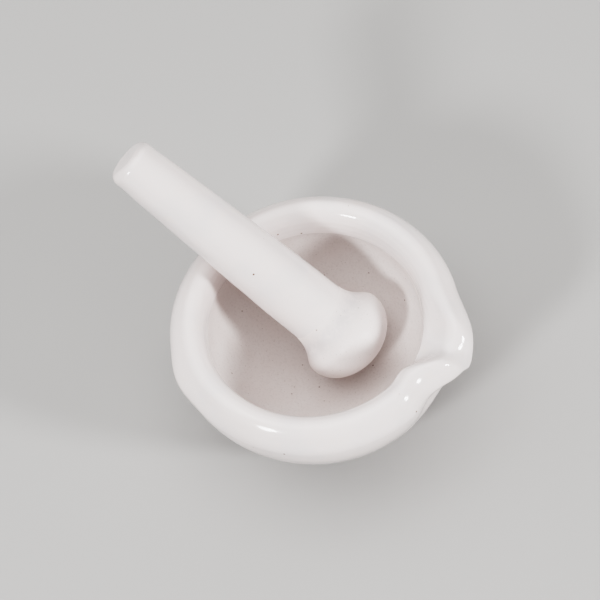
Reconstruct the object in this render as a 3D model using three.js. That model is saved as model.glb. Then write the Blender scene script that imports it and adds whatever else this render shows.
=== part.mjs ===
// Porcelain laboratory mortar, 100 mm across, with its one-piece pestle leaning in the bowl.
//
// Millimetres, +Z up. The origin is the middle of the mortar's flat foot, and +X points at the
// pour lip. Both pieces are solids of revolution: a profile of (radius, height) points is turned
// about Z. The mortar's rim is then drawn out into the pour lip, and the pestle is laid in the
// bowl with its head on the floor and its shaft on the rim opposite the lip.

import * as THREE from 'three';
import { mergeVertices } from 'three/addons/utils/BufferGeometryUtils.js';

// Mortar body
const RIM_RADIUS = 50;          // outermost radius of the rolled rim
const RIM_OUTER_HEIGHT = 40;    // height of the rim's outermost point
const RIM_CREST_RADIUS = 43;    // the top of the rolled rim
const MORTAR_HEIGHT = 49;
const MOUTH_RADIUS = 37.1;      // inside edge of the rim, where the glaze ends
const MOUTH_HEIGHT = 38.2;
const FOOT_RADIUS = 27;
const FOOT_EDGE = 1.5;          // rounded edge of the foot
const FLOOR_THICKNESS = 9;      // porcelain under the deepest point of the bowl
const MORTAR_SEGMENTS = 96;

// Outer wall between the foot and the rim, as two Bezier handles (radius, height)
const WALL_LOWER_HANDLE = [37, 6.5];
const WALL_UPPER_HANDLE = [49.4, 26.5];

// How full the rolled rim is: the lengths of its Bezier handles
const RIM_OUTER_FULLNESS = 3.2; // at its outermost point, and outwards from the crest
const RIM_INNER_FULLNESS = 4.2; // inwards from the crest
const MOUTH_FULLNESS = 6.5;     // up from the mouth

// Pour lip, drawn out of the rim towards +X
const LIP_REACH = 5.4;          // how far its tip stands out beyond the rim
const LIP_HALF_ANGLE_DEG = 29;  // where it has died out into the rim, each side of +X
const LIP_ROOT_HEIGHT = 34;     // height at which the wall begins to swell into the lip
const LIP_FULL_HEIGHT = 41;     // height from which the swelling is complete

// Where a finger pressed the rim in beside the lip, on its -Y side
const PINCH = 2;
const PINCH_AZIMUTH_DEG = -20;
const PINCH_HALF_ANGLE_DEG = 13;
const PINCH_ROOT_HEIGHT = 22;
const PINCH_FULL_HEIGHT = 34;

// The lip's channel runs outwards beside the X axis between two ridges that draw together. It is
// steep up to the ridge on its -Y side and gentle on the other side.
const CHANNEL_DROP = 4;         // how far the rim dips along the channel's bottom
const CHANNEL_Y = -2.8;         // where its bottom runs
const CHANNEL_STEEP_WIDTH = 9.5; // from bottom to ridge, where the channel crosses the rim's crest
const CHANNEL_GENTLE_WIDTH = 15;
const CHANNEL_NARROWING = 0.042; // share of its width lost for each millimetre outwards

// The body is slightly out of true: one shallow swelling under the rim, nearly opposite the lip
const SWELLING = 1.3;
const SWELLING_AZIMUTH_DEG = 217;
const SWELLING_HALF_ANGLE_DEG = 16;
const SWELLING_HEIGHT = 36;
const SWELLING_HALF_HEIGHT = 14;

// Pestle
const PESTLE_LENGTH = 112;
const HEAD_RADIUS = 16.7;
const HEAD_DOME = 13;           // height of the domed grinding end
const NECK_RADIUS = 11.3;
const NECK_HEIGHT = 28;         // distance from the grinding end to the neck
const SHOULDER_HANDLE = 4.4;    // how softly the head turns in towards the neck
const SHAFT_END_RADIUS = 8.7;
const SHAFT_SWELL = 0.25;       // the shaft is slightly fuller than a straight taper
const SHAFT_EDGE = 3;           // rounded edge of the handle's flat end
const PESTLE_SEGMENTS = 40;

// How the pestle lies: the middle of its head, and the way its handle points
const HEAD_CENTRE = [7.6, 5.8, 25.9];
const HANDLE_AZIMUTH_DEG = 166.3;
const HANDLE_INCLINE_DEG = 38.5;

const radians = THREE.MathUtils.degToRad;
const point = (radius, height) => new THREE.Vector2(radius, height);

// Points along an ellipse's arc, from one angle to another (degrees, anticlockwise from +radius).
function arc(centre, halfWidth, halfHeight, fromDeg, toDeg, steps) {
  const points = [];
  for (let i = 0; i <= steps; i += 1) {
    const angle = radians(fromDeg + ((toDeg - fromDeg) * i) / steps);
    points.push(point(centre[0] + halfWidth * Math.cos(angle), centre[1] + halfHeight * Math.sin(angle)));
  }
  return points;
}

function bezier(from, handleA, handleB, to, steps) {
  const corners = [from, handleA, handleB, to].map(([radius, height]) => point(radius, height));
  return new THREE.CubicBezierCurve(...corners).getPoints(steps);
}

// Joins runs of points that end where the next begins, and pins the ends to the axis.
function profile(...runs) {
  const points = [];
  for (const next of runs.flat()) {
    const last = points[points.length - 1];
    if (!last || last.distanceTo(next) > 1e-6) points.push(next);
  }
  points[0].x = 0;
  points[points.length - 1].x = 0;
  return points;
}

// Turns a profile about Z. The profile runs up the outside of the solid.
function turned(points, segments) {
  const geometry = new THREE.LatheGeometry(points, segments);
  geometry.rotateX(Math.PI / 2);
  geometry.deleteAttribute('normal');
  geometry.deleteAttribute('uv');
  return mergeVertices(geometry, 1e-5);
}

function mortarProfile() {
  const footCorner = [FOOT_RADIUS - FOOT_EDGE, FOOT_EDGE];
  const foot = arc(footCorner, FOOT_EDGE, FOOT_EDGE, -90, 0, 3);
  const outermost = [RIM_RADIUS, RIM_OUTER_HEIGHT];
  const wall = bezier([FOOT_RADIUS, FOOT_EDGE], WALL_LOWER_HANDLE, WALL_UPPER_HANDLE, outermost, 9);
  const crest = [RIM_CREST_RADIUS, MORTAR_HEIGHT];
  const outerRim = bezier(
    outermost,
    [RIM_RADIUS, RIM_OUTER_HEIGHT + RIM_OUTER_FULLNESS],
    [RIM_CREST_RADIUS + RIM_OUTER_FULLNESS, MORTAR_HEIGHT],
    crest,
    8,
  );
  const innerRim = bezier(
    crest,
    [RIM_CREST_RADIUS - RIM_INNER_FULLNESS, MORTAR_HEIGHT],
    [MOUTH_RADIUS, MOUTH_HEIGHT + MOUTH_FULLNESS],
    [MOUTH_RADIUS, MOUTH_HEIGHT],
    9,
  );
  const bowl = arc([0, MOUTH_HEIGHT], MOUTH_RADIUS, MOUTH_HEIGHT - FLOOR_THICKNESS, 0, -90, 11);
  return profile([point(0, 0)], foot, wall, outerRim, innerRim, bowl);
}

// 1 in the middle, falling smoothly to 0 at the given half width.
function bell(offset, halfWidth) {
  const t = Math.min(Math.abs(offset) / halfWidth, 1);
  return Math.cos((t * Math.PI) / 2) ** 2;
}

// The signed angle from an azimuth, in degrees.
function turnFrom(angle, azimuthDeg) {
  const turn = angle - radians(azimuthDeg);
  return THREE.MathUtils.radToDeg(Math.atan2(Math.sin(turn), Math.cos(turn)));
}

// How much a point takes part in a change to the rim: not at all at the mouth, fully on the crest,
// and down the outer wall as far as the root height.
function rimShare(radius, height, rootHeight, fullHeight) {
  if (radius < RIM_CREST_RADIUS) return THREE.MathUtils.smoothstep(height, MOUTH_HEIGHT, MORTAR_HEIGHT);
  return THREE.MathUtils.smoothstep(height, rootHeight, fullHeight);
}

// 1 along the bottom of the channel, falling to 0 on the ridge at each side.
function channel(x, y) {
  if (x < 0) return 0;
  const offset = y - CHANNEL_Y;
  const width = offset < 0 ? CHANNEL_STEEP_WIDTH : CHANNEL_GENTLE_WIDTH;
  return bell(offset, width * (1 - CHANNEL_NARROWING * (x - RIM_CREST_RADIUS)));
}

// Draws the rim out into the pour lip, lets its crest dip into the channel, and adds the pinch
// beside the lip and the swelling of the outer wall.
function shapeBody(geometry) {
  const position = geometry.attributes.position;
  const vertex = new THREE.Vector3();
  for (let i = 0; i < position.count; i += 1) {
    vertex.fromBufferAttribute(position, i);
    const radius = Math.hypot(vertex.x, vertex.y);
    const angle = Math.atan2(vertex.y, vertex.x);
    const lipShare = rimShare(radius, vertex.z, LIP_ROOT_HEIGHT, LIP_FULL_HEIGHT);
    const lip = LIP_REACH * lipShare * bell(turnFrom(angle, 0), LIP_HALF_ANGLE_DEG);
    const pinch = PINCH * rimShare(radius, vertex.z, PINCH_ROOT_HEIGHT, PINCH_FULL_HEIGHT)
      * bell(turnFrom(angle, PINCH_AZIMUTH_DEG), PINCH_HALF_ANGLE_DEG);
    const outside = radius < RIM_CREST_RADIUS ? 0 : SWELLING;
    const swelling = outside * bell(turnFrom(angle, SWELLING_AZIMUTH_DEG), SWELLING_HALF_ANGLE_DEG)
      * bell(vertex.z - SWELLING_HEIGHT, SWELLING_HALF_HEIGHT);
    const stretch = radius > 0 ? 1 + (lip - pinch + swelling) / radius : 1;
    const x = vertex.x * stretch;
    const y = vertex.y * stretch;
    position.setXYZ(i, x, y, vertex.z - CHANNEL_DROP * lipShare * channel(x, y));
  }
  return geometry;
}

function pestleProfile() {
  const shaftTop = PESTLE_LENGTH - SHAFT_EDGE;
  const dome = arc([0, HEAD_DOME], HEAD_RADIUS, HEAD_DOME, -90, 0, 9);
  const shoulder = bezier(
    [HEAD_RADIUS, HEAD_DOME],
    [HEAD_RADIUS, HEAD_DOME + SHOULDER_HANDLE],
    [NECK_RADIUS, HEAD_DOME + SHOULDER_HANDLE],
    [NECK_RADIUS, NECK_HEIGHT],
    7,
  );
  const shaft = bezier(
    [NECK_RADIUS, NECK_HEIGHT],
    [NECK_RADIUS - SHAFT_SWELL, (2 * NECK_HEIGHT + shaftTop) / 3],
    [SHAFT_END_RADIUS + 4 * SHAFT_SWELL, (NECK_HEIGHT + 2 * shaftTop) / 3],
    [SHAFT_END_RADIUS, shaftTop],
    6,
  );
  const edge = arc([SHAFT_END_RADIUS - SHAFT_EDGE, shaftTop], SHAFT_EDGE, SHAFT_EDGE, 0, 90, 4);
  return profile(dome, shoulder, shaft, edge, [point(0, PESTLE_LENGTH)]);
}

// Glazed white porcelain, one material for each piece.
function porcelain(colour, roughness) {
  return new THREE.MeshStandardMaterial({ color: colour, roughness, metalness: 0 });
}

const mortar = new THREE.Mesh(
  shapeBody(turned(mortarProfile(), MORTAR_SEGMENTS)),
  porcelain(0xe8e4e3, 0.18),
);
mortar.name = 'mortar';

// The pestle's own Z axis runs from its grinding end to its handle; the group tips it over.
const pestle = new THREE.Mesh(turned(pestleProfile(), PESTLE_SEGMENTS), porcelain(0xe6e2e1, 0.22));
pestle.name = 'pestle';
pestle.position.z = -HEAD_DOME;

const leaningPestle = new THREE.Group();
leaningPestle.position.set(...HEAD_CENTRE);
leaningPestle.rotation.order = 'ZYX';
leaningPestle.rotation.z = radians(HANDLE_AZIMUTH_DEG);
leaningPestle.rotation.y = radians(90 - HANDLE_INCLINE_DEG);
leaningPestle.add(pestle);

const mortarAndPestle = new THREE.Group();
mortarAndPestle.add(mortar, leaningPestle);

export default mortarAndPestle;
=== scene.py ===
"""White porcelain laboratory mortar, with its one-piece pestle leaning in the bowl.

Both pieces are turned shapes. A fine profile of (radius, height) points is swept round an axis,
then drawn out of round: the mortar gets its pour lip and the pinch beside it, a shallow swelling
under the rim, turning marks and the step at the edge of its glaze, and the pestle a little
unevenness. The shape functions work in millimetres, and to_mesh() turns the result into metres.
"""

import math

import bpy
import numpy as np
from mathutils import Matrix, Vector


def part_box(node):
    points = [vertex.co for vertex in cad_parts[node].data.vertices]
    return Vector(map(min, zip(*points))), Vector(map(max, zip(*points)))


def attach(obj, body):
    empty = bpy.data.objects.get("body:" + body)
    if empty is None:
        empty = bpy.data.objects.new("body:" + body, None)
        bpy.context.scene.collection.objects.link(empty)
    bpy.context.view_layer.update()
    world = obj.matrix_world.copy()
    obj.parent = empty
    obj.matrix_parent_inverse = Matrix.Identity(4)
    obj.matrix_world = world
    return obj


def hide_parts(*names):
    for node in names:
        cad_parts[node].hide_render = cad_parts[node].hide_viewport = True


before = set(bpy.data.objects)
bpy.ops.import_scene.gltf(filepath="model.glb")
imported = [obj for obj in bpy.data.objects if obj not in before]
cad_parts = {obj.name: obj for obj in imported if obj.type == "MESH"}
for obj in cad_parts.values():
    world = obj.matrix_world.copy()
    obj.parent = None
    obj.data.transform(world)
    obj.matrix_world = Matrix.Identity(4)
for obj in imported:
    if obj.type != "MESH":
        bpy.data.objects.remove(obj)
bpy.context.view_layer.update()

MM = 0.001

# The mortar's height and rim come from its CAD node, the rest of its shape from these, in
# millimetres. Handles are those of Bezier curves, as (radius, height) or as lengths.
mortar_low, mortar_high = (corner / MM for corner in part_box("mortar"))
MORTAR_HEIGHT = mortar_high.z
RIM_RADIUS = -mortar_low.x
RIM_OUTER_HEIGHT = 40
RIM_CREST_RADIUS = 43
MOUTH_RADIUS = 37.1
MOUTH_HEIGHT = 38.2
FOOT_RADIUS = 27
FOOT_EDGE = 1.5
FLOOR_THICKNESS = 9
WALL_LOWER_HANDLE = (37, 6.5)
WALL_UPPER_HANDLE = (49.4, 26.5)
RIM_OUTER_FULLNESS = 3.2
RIM_INNER_FULLNESS = 4.2
MOUTH_FULLNESS = 6.5
MORTAR_SEGMENTS = 288

# The first degrees of the bowl's arc below the mouth, where its profile is finer, for the step at
# the edge of the glaze
MOUTH_EDGE_DEG = 5

# The pour lip towards +X, and the pinch beside it. On the outer wall each is full from one height
# upwards, and has died out at its root height.
LIP_REACH = 5.4
LIP_HALF_ANGLE_DEG = 29
LIP_ROOT_HEIGHT = 34
LIP_FULL_HEIGHT = 41
PINCH = 2
PINCH_AZIMUTH_DEG = -20
PINCH_HALF_ANGLE_DEG = 13
PINCH_ROOT_HEIGHT = 22
PINCH_FULL_HEIGHT = 34

# The lip's channel, steep up to the ridge on its -Y side and gentle on the other. Its width
# shrinks by the narrowing, a share for each millimetre outwards from the rim's crest.
CHANNEL_DROP = 4
CHANNEL_Y = -2.8
CHANNEL_STEEP_WIDTH = 9.5
CHANNEL_GENTLE_WIDTH = 15
CHANNEL_NARROWING = 0.042

# The swelling of the outer wall
SWELLING = 1.3
SWELLING_AZIMUTH_DEG = 217
SWELLING_HALF_ANGLE_DEG = 16
SWELLING_HEIGHT = 36
SWELLING_HALF_HEIGHT = 14

# The glaze, and how unevenly the pieces are made
GLAZE_THICKNESS = 0.18
GLAZE_EDGE = 0.25
FOOT_BEAD = 0.12
FOOT_BEAD_WIDTH = 0.9
TURNING_MARK = 0.02
TURNING_SPACING = 2.2
WANDER = 0.12
WANDER_TURNS = (2, 3, 5)
WANDER_WAVES_PER_MM = (0.02, 0.05)

# Pestle, in millimetres, along its own axis from the grinding end
PESTLE_LENGTH = 112
HEAD_RADIUS = 16.7
HEAD_DOME = 13
NECK_RADIUS = 11.3
NECK_HEIGHT = 28
SHOULDER_HANDLE = 4.4
SHAFT_END_RADIUS = 8.7
SHAFT_SWELL = 0.25
SHAFT_EDGE = 3
GLAZE_START = 25
PESTLE_SEGMENTS = 144

# Heights, and one radius, between which the turning marks and the wander set in or die out
MARKS_SET_IN = (MOUTH_HEIGHT, MOUTH_HEIGHT + 1.5)
MARKS_DIE_OUT = (MORTAR_HEIGHT - 3, MORTAR_HEIGHT - 1)
WALL_WANDER_RADIUS = (FOOT_RADIUS, FOOT_RADIUS + 6)
WALL_WANDER_HEIGHT = (1, 6)
SHAFT_WANDER_SETS_IN = (NECK_HEIGHT - 8, NECK_HEIGHT + 6)
SHAFT_WANDER_DIES_OUT = (PESTLE_LENGTH - 6, PESTLE_LENGTH - 1)

# How the pestle lies
HEAD_CENTRE = Vector((7.6, 5.8, 25.9))
HANDLE_AZIMUTH_DEG = 166.3
HANDLE_INCLINE_DEG = 38.5


# --- Shape functions -------------------------------------------------------------------------


def arc(centre, half_width, half_height, from_deg, to_deg, steps):
    """Points along an ellipse's arc, anticlockwise from the direction of growing radius."""
    angles = np.radians(np.linspace(from_deg, to_deg, steps + 1))
    across = centre[0] + half_width * np.cos(angles)
    return np.column_stack([across, centre[1] + half_height * np.sin(angles)])


def bezier(start, handle_a, handle_b, end, steps):
    t = np.linspace(0, 1, steps + 1)[:, None]
    points = [np.array(p, float) for p in (start, handle_a, handle_b, end)]
    weights = [(1 - t) ** 3, 3 * t * (1 - t) ** 2, 3 * t**2 * (1 - t), t**3]
    return sum(weight * p for weight, p in zip(weights, points))


def line(start, end, steps):
    t = np.linspace(0, 1, steps + 1)[:, None]
    return np.array(start, float) * (1 - t) + np.array(end, float) * t


def joined(*runs):
    """One run of points from several that end where the next begins."""
    return np.vstack([runs[0]] + [run[1:] for run in runs[1:]])


def outward(points):
    """The profile's unit normals, to the right of its direction of travel."""
    along = np.gradient(points, axis=0)
    along /= np.linalg.norm(along, axis=1)[:, None]
    return np.column_stack([along[:, 1], -along[:, 0]])


def distance_along(points):
    steps = np.linalg.norm(np.diff(points, axis=0), axis=1)
    return np.concatenate([[0], np.cumsum(steps)])


def smoothstep(value, low, high):
    t = np.clip((value - low) / (high - low), 0, 1)
    return t * t * (3 - 2 * t)


def bell(offset, half_width):
    """1 in the middle, falling smoothly to 0 at the given half width."""
    t = np.clip(np.abs(offset) / half_width, 0, 1)
    return np.cos(t * math.pi / 2) ** 2


def turn_from(angle, azimuth_deg):
    """The signed angle from an azimuth, in degrees."""
    return (np.degrees(angle) - azimuth_deg + 180) % 360 - 180


def mortar_profile():
    """The profile, and how far each point lies past the edge of the glaze, in millimetres."""
    underside = line((0, 0), (FOOT_RADIUS - FOOT_EDGE, 0), steps=14)
    foot = arc((FOOT_RADIUS - FOOT_EDGE, FOOT_EDGE), FOOT_EDGE, FOOT_EDGE, -90, 0, steps=8)
    outermost = (RIM_RADIUS, RIM_OUTER_HEIGHT)
    foot_top = (FOOT_RADIUS, FOOT_EDGE)
    wall = bezier(foot_top, WALL_LOWER_HANDLE, WALL_UPPER_HANDLE, outermost, steps=44)
    crest = (RIM_CREST_RADIUS, MORTAR_HEIGHT)
    outer_rim = bezier(
        outermost,
        (RIM_RADIUS, RIM_OUTER_HEIGHT + RIM_OUTER_FULLNESS),
        (RIM_CREST_RADIUS + RIM_OUTER_FULLNESS, MORTAR_HEIGHT),
        crest,
        steps=30,
    )
    mouth = (MOUTH_RADIUS, MOUTH_HEIGHT)
    inner_rim = bezier(
        crest,
        (RIM_CREST_RADIUS - RIM_INNER_FULLNESS, MORTAR_HEIGHT),
        (MOUTH_RADIUS, MOUTH_HEIGHT + MOUTH_FULLNESS),
        mouth,
        steps=48,
    )
    bowl_depth = MOUTH_HEIGHT - FLOOR_THICKNESS
    centre = (0, MOUTH_HEIGHT)
    mouth_edge = arc(centre, MOUTH_RADIUS, bowl_depth, 0, -MOUTH_EDGE_DEG, steps=12)
    bowl = arc(centre, MOUTH_RADIUS, bowl_depth, -MOUTH_EDGE_DEG, -90, steps=56)
    points = joined(underside, foot, wall, outer_rim, inner_rim, mouth_edge, bowl)
    reach = distance_along(points)
    foot_line = len(underside) + len(foot) // 2
    mouth_line = len(points) - len(bowl) - len(mouth_edge) + 1
    past_glaze = np.maximum(reach[foot_line] - reach, reach - reach[mouth_line])
    return points, past_glaze


def pestle_profile():
    """The profile, and how far each point lies past the edge of the glaze, in millimetres."""
    shaft_top = PESTLE_LENGTH - SHAFT_EDGE
    dome = arc((0, HEAD_DOME), HEAD_RADIUS, HEAD_DOME, -90, 0, steps=34)
    shoulder = bezier(
        (HEAD_RADIUS, HEAD_DOME),
        (HEAD_RADIUS, HEAD_DOME + SHOULDER_HANDLE),
        (NECK_RADIUS, HEAD_DOME + SHOULDER_HANDLE),
        (NECK_RADIUS, NECK_HEIGHT),
        steps=24,
    )
    shaft = bezier(
        (NECK_RADIUS, NECK_HEIGHT),
        (NECK_RADIUS - SHAFT_SWELL, (2 * NECK_HEIGHT + shaft_top) / 3),
        (SHAFT_END_RADIUS + 4 * SHAFT_SWELL, (NECK_HEIGHT + 2 * shaft_top) / 3),
        (SHAFT_END_RADIUS, shaft_top),
        steps=60,
    )
    flat_radius = SHAFT_END_RADIUS - SHAFT_EDGE
    edge = arc((flat_radius, shaft_top), SHAFT_EDGE, SHAFT_EDGE, 0, 90, steps=12)
    end = line((flat_radius, PESTLE_LENGTH), (0, PESTLE_LENGTH), steps=6)
    points = joined(dome, shoulder, shaft, edge, end)
    reach = distance_along(points)
    glaze_line = int(np.argmax(points[:, 1] > GLAZE_START))
    return points, reach[glaze_line] - reach


def swept(points, segments):
    """Radius, height and angle of every vertex between the two poles, as rings by segments."""
    angle = np.linspace(0, 2 * math.pi, segments, endpoint=False)
    rings = points[1:-1]
    shape = (len(rings), segments)
    radius = np.broadcast_to(rings[:, :1], shape).copy()
    height = np.broadcast_to(rings[:, 1:], shape).copy()
    return radius, height, np.broadcast_to(angle, shape)


def uneven(angle, height, seed, size):
    """A slow random wander round and up the piece, at most about the given size."""
    rng = np.random.default_rng(seed)
    total = np.zeros(angle.shape)
    for turns in WANDER_TURNS:
        for waves in WANDER_WAVES_PER_MM:
            phase_a, phase_b = rng.uniform(0, 2 * math.pi, 2)
            wave = np.sin(turns * angle + phase_a) * np.sin(waves * 2 * math.pi * height + phase_b)
            total += wave / turns
    return size * total / len(WANDER_WAVES_PER_MM)


def to_mesh(name, points, radius, height, angle, matrix, past_glaze):
    """A closed mesh from the swept rings and the two poles, with its two materials' faces."""
    rings, segments = radius.shape
    ring_points = np.stack([radius * np.cos(angle), radius * np.sin(angle), height], axis=-1)
    bottom = (0, 0, points[0, 1])
    top = (0, 0, points[-1, 1])
    coordinates = np.vstack([[bottom], ring_points.reshape(-1, 3), [top]])
    at = 1 + np.arange(rings * segments).reshape(rings, segments)
    beside = np.roll(at, -1, axis=1)
    faces = [(0, int(beside[0, j]), int(at[0, j])) for j in range(segments)]
    for i in range(rings - 1):
        quads = np.column_stack([at[i], beside[i], beside[i + 1], at[i + 1]])
        faces += [tuple(quad) for quad in quads.tolist()]
    last = len(coordinates) - 1
    faces += [(int(at[-1, j]), int(beside[-1, j]), last) for j in range(segments)]
    mesh = bpy.data.meshes.new(name)
    mesh.from_pydata((coordinates * MM).tolist(), [], faces)
    mesh.transform(matrix)
    mesh.shade_smooth()
    between = (past_glaze[1:] + past_glaze[:-1]) / 2
    bare = np.repeat(between > 0, segments)
    mesh.polygons.foreach_set("material_index", bare.astype(np.int32))
    attribute = mesh.attributes.new("past_glaze", "FLOAT", "POINT")
    values = np.concatenate([past_glaze[:1], np.repeat(past_glaze[1:-1], segments), past_glaze[-1:]])
    attribute.data.foreach_set("value", values.astype(np.float32))
    piece = bpy.data.objects.new(name, mesh)
    bpy.context.collection.objects.link(piece)
    return piece


def rim_share(radius, height, root_height, full_height):
    """How much a point takes part in a change to the rim: not at all at the mouth, fully on the
    crest, and down the outer wall as far as the root height."""
    inner = smoothstep(height, MOUTH_HEIGHT, MORTAR_HEIGHT)
    outer = smoothstep(height, root_height, full_height)
    return np.where(radius < RIM_CREST_RADIUS, inner, outer)


def channel(x, y):
    """1 along the bottom of the lip's channel, falling to 0 on the ridge at each side."""
    offset = y - CHANNEL_Y
    width = np.where(offset < 0, CHANNEL_STEEP_WIDTH, CHANNEL_GENTLE_WIDTH)
    width = width * (1 - CHANNEL_NARROWING * (x - RIM_CREST_RADIUS))
    return np.where(x < 0, 0, bell(offset, np.maximum(width, 1)))


def glaze_relief(points, past_glaze):
    """How far each point stands out: the glaze over the bare bowl, its bead over the foot, and
    the potter's turning marks round the inside of the rim."""
    radius, height = points.T
    is_inner = (radius < RIM_CREST_RADIUS) & (height > FLOOR_THICKNESS / 2)
    bare = smoothstep(past_glaze, -GLAZE_EDGE, GLAZE_EDGE)
    bead = bell(past_glaze + FOOT_BEAD_WIDTH, FOOT_BEAD_WIDTH) * (height < MOUTH_HEIGHT)
    marks = np.sin(height * 2 * math.pi / TURNING_SPACING)
    marks *= smoothstep(height, *MARKS_SET_IN)
    marks *= 1 - smoothstep(height, *MARKS_DIE_OUT)
    inner_relief = TURNING_MARK * marks - GLAZE_THICKNESS * bare
    return np.where(is_inner, inner_relief, FOOT_BEAD * bead)


def make_mortar():
    """The mortar's profile with its relief, swept round, with the rim and wall out of round."""
    points, past_glaze = mortar_profile()
    points = points + outward(points) * glaze_relief(points, past_glaze)[:, None]
    points[0, 0] = 0
    points[-1, 0] = 0

    ring_radius, ring_height, angle = swept(points, MORTAR_SEGMENTS)
    is_inner = ring_radius < RIM_CREST_RADIUS
    lip_share = rim_share(ring_radius, ring_height, LIP_ROOT_HEIGHT, LIP_FULL_HEIGHT)
    lip = LIP_REACH * lip_share * bell(turn_from(angle, 0), LIP_HALF_ANGLE_DEG)
    pinch_share = rim_share(ring_radius, ring_height, PINCH_ROOT_HEIGHT, PINCH_FULL_HEIGHT)
    pinch_bell = bell(turn_from(angle, PINCH_AZIMUTH_DEG), PINCH_HALF_ANGLE_DEG)
    swelling = bell(turn_from(angle, SWELLING_AZIMUTH_DEG), SWELLING_HALF_ANGLE_DEG)
    swelling = SWELLING * swelling * bell(ring_height - SWELLING_HEIGHT, SWELLING_HALF_HEIGHT)
    on_wall = smoothstep(ring_radius, *WALL_WANDER_RADIUS)
    on_wall *= smoothstep(ring_height, *WALL_WANDER_HEIGHT)
    wander = uneven(angle, ring_height, seed=3, size=WANDER)
    wander *= np.where(is_inner & (ring_height < MOUTH_HEIGHT), 0, on_wall)
    radius = ring_radius + lip - PINCH * pinch_share * pinch_bell
    radius = radius + np.where(is_inner, 0, swelling) + wander
    bottom = channel(radius * np.cos(angle), radius * np.sin(angle))
    height = ring_height - CHANNEL_DROP * lip_share * bottom
    return to_mesh("mortar_body", points, radius, height, angle, Matrix.Identity(4), past_glaze)


def pestle_matrix():
    """From the upright pestle, its grinding end at the origin, to where it leans in the bowl."""
    lean = Matrix.Rotation(math.radians(HANDLE_AZIMUTH_DEG), 4, "Z")
    lean = lean @ Matrix.Rotation(math.radians(90 - HANDLE_INCLINE_DEG), 4, "Y")
    return Matrix.Translation(HEAD_CENTRE * MM) @ lean @ Matrix.Translation((0, 0, -HEAD_DOME * MM))


def make_pestle():
    points, past_glaze = pestle_profile()
    radius, height, angle = swept(points, PESTLE_SEGMENTS)
    along_shaft = smoothstep(height, *SHAFT_WANDER_SETS_IN)
    along_shaft *= 1 - smoothstep(height, *SHAFT_WANDER_DIES_OUT)
    radius = radius + uneven(angle, height, seed=8, size=WANDER) * along_shaft
    return to_mesh("pestle_body", points, radius, height, angle, pestle_matrix(), past_glaze)


# --- Materials -------------------------------------------------------------------------------


def node(tree, kind, inputs=None, **settings):
    """A new node with its settings, and its inputs set to values or linked to other nodes."""
    made = tree.nodes.new(kind)
    for name, value in settings.items():
        setattr(made, name, value)
    for socket, value in (inputs or {}).items():
        if isinstance(value, bpy.types.NodeSocket):
            tree.links.new(value, made.inputs[socket])
        else:
            made.inputs[socket].default_value = value
    return made


def empty_material(name):
    material = bpy.data.materials.new(name)
    material.use_nodes = True
    material.node_tree.nodes.clear()
    return material, material.node_tree


def millimetres(tree):
    """The place on the object, in millimetres."""
    place = node(tree, "ShaderNodeTexCoord").outputs["Object"]
    scaled = node(tree, "ShaderNodeVectorMath", {0: place, "Scale": 1 / MM}, operation="SCALE")
    return scaled.outputs["Vector"]


def noise(tree, place, size, detail=3, roughness=0.5):
    """Noise from 0 to 1 whose lumps are about the given size in millimetres."""
    inputs = {"Vector": place, "Scale": 1 / size, "Detail": detail, "Roughness": roughness}
    return node(tree, "ShaderNodeTexNoise", inputs).outputs["Fac"]


def ramp(tree, value, low, high, to_low=0.0, to_high=1.0):
    """The value carried smoothly from one range to another, and held at its ends."""
    inputs = {"Value": value, "From Min": low, "From Max": high, "To Min": to_low, "To Max": to_high}
    made = node(tree, "ShaderNodeMapRange", inputs, interpolation_type="SMOOTHSTEP")
    return made.outputs["Result"]


def mixed(tree, share, first, second):
    """The first colour, with the given share of it replaced by the second."""
    made = node(tree, "ShaderNodeMix", {"Factor": share}, data_type="RGBA")
    for socket, value in (("A_Color", first), ("B_Color", second)):
        target = next(s for s in made.inputs if s.identifier == socket)
        if isinstance(value, bpy.types.NodeSocket):
            tree.links.new(value, target)
        else:
            target.default_value = (*value, 1)
    return next(s for s in made.outputs if s.identifier == "Result_Color")


def maths(tree, operation, first, second):
    return node(tree, "ShaderNodeMath", {0: first, 1: second}, operation=operation).outputs[0]


def patches(tree, place, size, low, high, least=0.0, most=1.0, detail=3, roughness=0.5):
    """Cloudy patches of about the given size in millimetres: the least value where the noise is
    under low, and the most where it is over high."""
    return ramp(tree, noise(tree, place, size, detail, roughness), low, high, least, most)


def scattered(tree, place, spacing, radius, share):
    """Random round specks, in about the given share of cells that are one spacing across."""
    inputs = {"Vector": place, "Scale": 1 / spacing, "Randomness": 1}
    cells = node(tree, "ShaderNodeTexVoronoi", inputs, feature="F1")
    inside = ramp(tree, cells.outputs["Distance"], radius * 0.5 / spacing, radius / spacing, 1, 0)
    chance = node(tree, "ShaderNodeSeparateColor", {0: cells.outputs["Color"]}).outputs[0]
    chosen = maths(tree, "LESS_THAN", chance, share)
    return maths(tree, "MULTIPLY", inside, chosen)


def past_glaze(tree):
    """How far the surface lies past the edge of the glaze, in millimetres, from the mesh."""
    return node(tree, "ShaderNodeAttribute", attribute_name="past_glaze").outputs["Fac"]


def porcelain_surface(tree, colour, roughness, ior, relief, strength, depth):
    """The shader and output, with the relief as a bump of the given depth in millimetres."""
    inputs = {"Strength": strength, "Distance": depth * MM, "Height": relief}
    normal = node(tree, "ShaderNodeBump", inputs).outputs["Normal"]
    inputs = {"Base Color": colour, "Roughness": roughness, "Normal": normal, "IOR": ior}
    shader = node(tree, "ShaderNodeBsdfPrincipled", inputs)
    node(tree, "ShaderNodeOutputMaterial", {"Surface": shader.outputs["BSDF"]})


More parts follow.
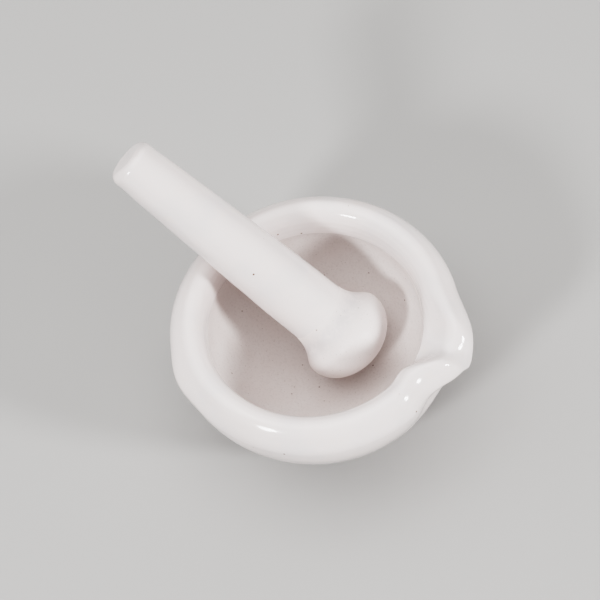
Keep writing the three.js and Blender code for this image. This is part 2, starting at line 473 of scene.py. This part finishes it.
# Colours of the glaze, of the bare bowl, of the bare head of the pestle, and of the marks on them
GLAZE_WHITE = (0.855, 0.785, 0.77)
GLAZE_COOL = (0.80, 0.75, 0.745)
GLAZE_WARM = (0.855, 0.77, 0.735)
BARE_GREY = (0.705, 0.653, 0.638)
BARE_PINK = (0.69, 0.626, 0.608)
BARE_DARK = (0.56, 0.505, 0.49)
HEAD_WHITE = (0.835, 0.768, 0.753)
HEAD_PINK = (0.825, 0.75, 0.73)
HEAD_DARK = (0.75, 0.686, 0.676)
EDGE_GREY = (0.52, 0.485, 0.475)
# Grey laid in cloudy patches just past the edge of the glaze
PAST_EDGE_GREY = (0.60, 0.56, 0.565)
SPECK_BROWN = (0.17, 0.10, 0.08)


def glaze(name, roughness, edge):
    """White glaze with cool and warm patches, iron specks, and grey to the edge's given share."""
    material, tree = empty_material(name)
    place = millimetres(tree)
    cool = patches(tree, place, size=16, low=0.4, high=0.7)
    colour = mixed(tree, cool, GLAZE_WHITE, GLAZE_COOL)
    warm = patches(tree, place, size=7, low=0.55, high=0.8, most=0.6)
    colour = mixed(tree, warm, colour, GLAZE_WARM)
    thin = ramp(tree, past_glaze(tree), low=-0.4, high=0, to_low=0, to_high=edge)
    colour = mixed(tree, thin, colour, EDGE_GREY)
    iron = scattered(tree, place, spacing=8, radius=0.45, share=0.5)
    fine = scattered(tree, place, spacing=5, radius=0.27, share=0.4)
    dark = maths(tree, "MAXIMUM", iron, maths(tree, "MULTIPLY", fine, 0.6))
    colour = mixed(tree, dark, colour, SPECK_BROWN)
    glossiest, dullest = roughness - 0.03, roughness + 0.04
    gloss = patches(tree, place, size=5, low=0.3, high=0.7, least=glossiest, most=dullest)
    ripple = noise(tree, place, size=6, detail=2)
    porcelain_surface(tree, colour, gloss, ior=1.5, relief=ripple, strength=0.35, depth=0.05)
    return material


def bare_porcelain(name, colours, grey_past_edge, edge, roughness):
    """Unglazed porcelain in a main, a blotch and a grain colour. It is greyed at the edge of the
    glaze, greyed again in cloudy patches a few millimetres past it, each to its given share, and
    specked all over."""
    material, tree = empty_material(name)
    place = millimetres(tree)
    main, blotch, grain_colour = colours
    blotches = patches(tree, place, size=11, low=0.35, high=0.7, detail=5)
    colour = mixed(tree, blotches, main, blotch)
    grain = patches(tree, place, size=0.8, low=0.45, high=0.75, most=0.5, detail=4, roughness=0.6)
    colour = mixed(tree, grain, colour, grain_colour)
    # Grey in cloudy patches from the glaze edge to about 11 mm past it; on the pestle this falls on
    # the shoulder and lower neck
    cloud = patches(tree, place, size=3, low=0.3, high=0.6, least=0.3, most=0.8, detail=4)
    rising = ramp(tree, past_glaze(tree), low=0, high=5)
    falling = ramp(tree, past_glaze(tree), low=5, high=11, to_low=grey_past_edge, to_high=0)
    greyed_past_edge = maths(tree, "MULTIPLY", maths(tree, "MULTIPLY", rising, falling), cloud)
    colour = mixed(tree, greyed_past_edge, colour, PAST_EDGE_GREY)
    thin = ramp(tree, past_glaze(tree), low=0, high=0.6, to_low=edge, to_high=0)
    colour = mixed(tree, thin, colour, EDGE_GREY)
    coarse = scattered(tree, place, spacing=4, radius=0.4, share=0.4)
    fine = scattered(tree, place, spacing=1.5, radius=0.22, share=0.4)
    coarse = maths(tree, "MULTIPLY", coarse, 0.7)
    fine = maths(tree, "MULTIPLY", fine, 0.4)
    colour = mixed(tree, maths(tree, "MAXIMUM", coarse, fine), colour, SPECK_BROWN)
    smoothest, roughest = roughness - 0.08, roughness + 0.08
    matt = patches(tree, place, size=2, low=0.3, high=0.7, least=smoothest, most=roughest)
    sand = noise(tree, place, size=0.5, detail=4)
    porcelain_surface(tree, colour, matt, ior=1.45, relief=sand, strength=0.3, depth=0.06)
    return material


# --- The object ------------------------------------------------------------------------------

bowl_colours = (BARE_GREY, BARE_PINK, BARE_DARK)
mortar = make_mortar()
mortar.data.materials.append(glaze("mortar_glaze", roughness=0.12, edge=0.3))
bowl_surface = bare_porcelain("mortar_bare", bowl_colours, grey_past_edge=0, edge=0.35, roughness=0.7)
mortar.data.materials.append(bowl_surface)
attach(mortar, "mortar")
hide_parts("mortar")

head_colours = (HEAD_WHITE, HEAD_PINK, HEAD_DARK)
pestle = make_pestle()
pestle.data.materials.append(glaze("pestle_glaze", roughness=0.16, edge=0))
head_surface = bare_porcelain("pestle_bare", head_colours, grey_past_edge=0.9, edge=0, roughness=0.5)
pestle.data.materials.append(head_surface)
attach(pestle, "pestle")
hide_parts("pestle")


# --- Floor, light and camera -----------------------------------------------------------------

FLOOR_COLOUR = (0.42, 0.415, 0.41)
SKY_COLOUR = (1, 0.985, 0.97)

# In metres
FLOOR_HALF_SIZE = 3.0
LIGHT_TARGET = Vector((0, 0, 0.035))
LIGHT_DISTANCE = 1.2

# The heights, on a dome of radius 1, between which the sky goes from dim to bright
SKY_HEIGHTS = (0.8, 0.98)
SKY_STRENGTHS = (0.03, 1.66)


def make_floor():
    half = FLOOR_HALF_SIZE
    mesh = bpy.data.meshes.new("floor")
    corners = [(-half, -half, 0), (half, -half, 0), (half, half, 0), (-half, half, 0)]
    mesh.from_pydata(corners, [], [(0, 1, 2, 3)])
    floor = bpy.data.objects.new("floor", mesh)
    bpy.context.collection.objects.link(floor)
    material, tree = empty_material("floor")
    inputs = {"Base Color": (*FLOOR_COLOUR, 1), "Roughness": 0.9}
    shader = node(tree, "ShaderNodeBsdfPrincipled", inputs)
    node(tree, "ShaderNodeOutputMaterial", {"Surface": shader.outputs["BSDF"]})
    mesh.materials.append(material)


def make_light(name, azimuth_deg, elevation_deg, size, power):
    """A round area light that shines on the middle of the object from a direction."""
    azimuth = math.radians(azimuth_deg)
    elevation = math.radians(elevation_deg)
    level = math.cos(elevation)
    direction = Vector((level * math.cos(azimuth), level * math.sin(azimuth), math.sin(elevation)))
    light = bpy.data.lights.new(name, "AREA")
    light.shape = "DISK"
    light.size = size
    light.energy = power
    lamp = bpy.data.objects.new(name, light)
    lamp.location = LIGHT_TARGET + direction * LIGHT_DISTANCE
    lamp.rotation_euler = (-direction).to_track_quat("-Z", "Y").to_euler()
    bpy.context.collection.objects.link(lamp)


def make_world():
    """Soft light from all round, brightest overhead."""
    world = bpy.data.worlds.new("studio")
    world.use_nodes = True
    tree = world.node_tree
    background = tree.nodes["Background"]
    background.inputs["Color"].default_value = (*SKY_COLOUR, 1)
    direction = node(tree, "ShaderNodeTexCoord").outputs["Generated"]
    up = node(tree, "ShaderNodeSeparateXYZ", {0: direction}).outputs["Z"]
    strength = ramp(tree, up, *SKY_HEIGHTS, *SKY_STRENGTHS)
    tree.links.new(strength, background.inputs["Strength"])
    bpy.context.scene.world = world


# The view's level axis is turned by the azimuth from +X. The camera is aimed at the given height
# on the mortar's axis, then moved right and up by the offset. All in millimetres.
VIEW_AZIMUTH_DEG = 27
VIEW_ELEVATION_DEG = 60
VIEW_ROLL_DEG = 13.2
VIEW_DISTANCE = 1000
VIEW_HEIGHT = 41
VIEW_OFFSET = (-3.0, 8.75)
LENS = 175.5
SENSOR_WIDTH = 36


def make_camera():
    """The camera looks steeply down on the bowl, turned about its own axis, with a long lens."""
    azimuth = math.radians(VIEW_AZIMUTH_DEG)
    elevation = math.radians(VIEW_ELEVATION_DEG)
    level_right = Vector((math.cos(azimuth), math.sin(azimuth), 0))
    back = Vector((math.sin(azimuth), -math.cos(azimuth), 0)) * math.cos(elevation)
    back.z = math.sin(elevation)
    level_up = back.cross(level_right)
    roll = math.radians(VIEW_ROLL_DEG)
    right = math.cos(roll) * level_right - math.sin(roll) * level_up
    up = math.sin(roll) * level_right + math.cos(roll) * level_up
    aim = Vector((0, 0, VIEW_HEIGHT)) + VIEW_OFFSET[0] * level_right + VIEW_OFFSET[1] * level_up
    data = bpy.data.cameras.new("camera")
    data.lens = LENS
    data.sensor_width = SENSOR_WIDTH
    camera = bpy.data.objects.new("camera", data)
    turned = Matrix((right, up, back)).transposed().to_4x4()
    camera.matrix_world = Matrix.Translation((aim + back * VIEW_DISTANCE) * MM) @ turned
    bpy.context.collection.objects.link(camera)
    bpy.context.scene.camera = camera


make_floor()
make_world()
make_light("key", azimuth_deg=250, elevation_deg=32, size=0.22, power=7.4)
make_light("lip_side", azimuth_deg=351, elevation_deg=21.5, size=0.2, power=9.5)
make_light("soft_back", azimuth_deg=90, elevation_deg=50, size=1.2, power=3.3)
make_light("soft_left", azimuth_deg=180, elevation_deg=50, size=1.2, power=4.6)
make_camera()
bpy.context.scene.view_settings.view_transform = "Filmic"
bpy.context.scene.view_settings.look = "Very High Contrast"
